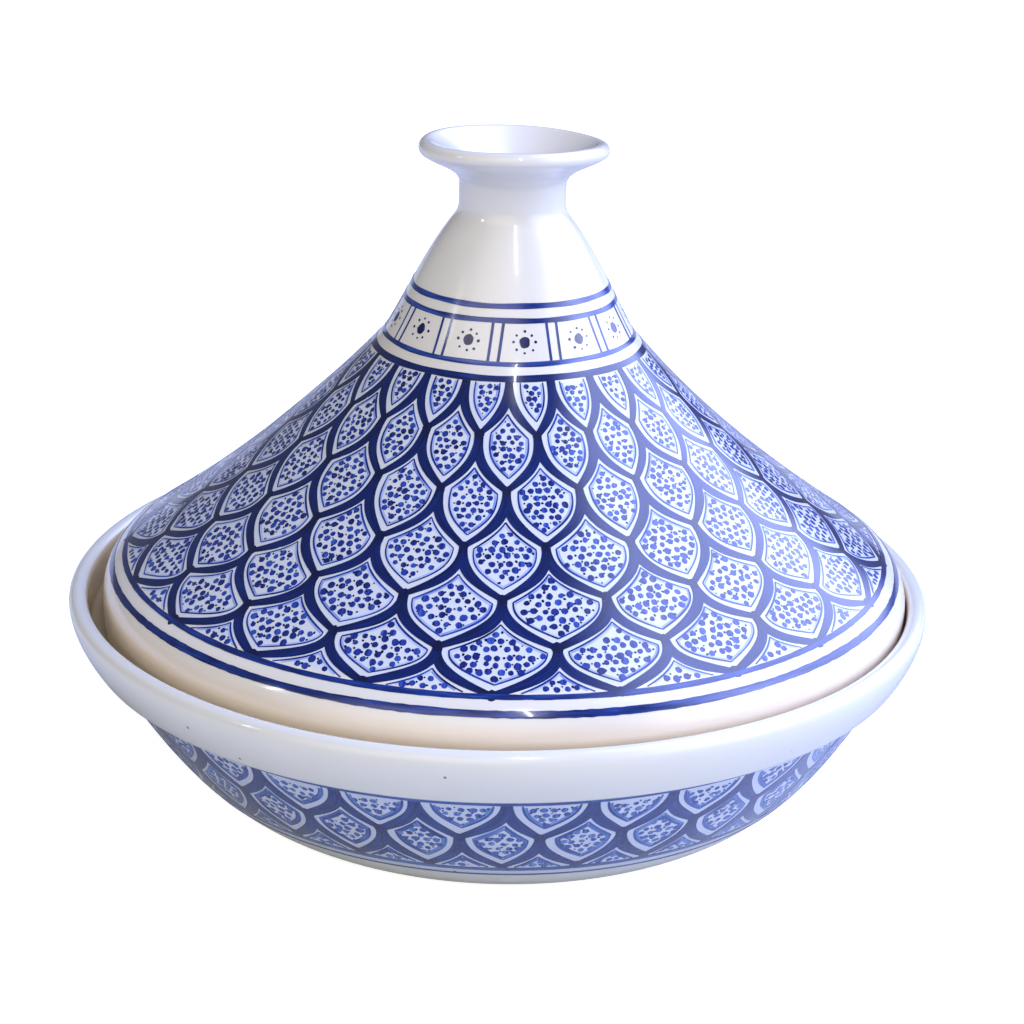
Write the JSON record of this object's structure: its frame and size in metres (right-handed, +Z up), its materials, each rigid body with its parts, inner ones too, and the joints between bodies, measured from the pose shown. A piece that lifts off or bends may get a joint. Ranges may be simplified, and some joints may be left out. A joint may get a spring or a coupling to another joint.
{
  "type": "tagine pot",
  "caption": "Footed glazed earthenware dish with a conical funnel-necked lid that rests on a ledge inside the rim and lifts off.",
  "frame": {"origin": "centre of the circle that the foot ring stands on", "axes": "+Z up along the axis of both pieces; +Y away from the viewed side"},
  "size_m": [0.32, 0.32, 0.2468],
  "materials": {
    "dish_glaze": "glossy white glaze painted in cobalt blue under the rim band",
    "lid_glaze": "glossy white glaze painted all over with a cobalt blue scale pattern"
  },
  "bodies": {
    "dish": {"dish": "dish_glaze"},
    "lid": {"lid": "lid_glaze"}
  },
  "joints": [
    {"name": "lid_lift", "type": "slide", "parent": "dish", "child": "lid", "axis": [0, 0, 1], "range_m": [0, 0.12]}
  ]
}
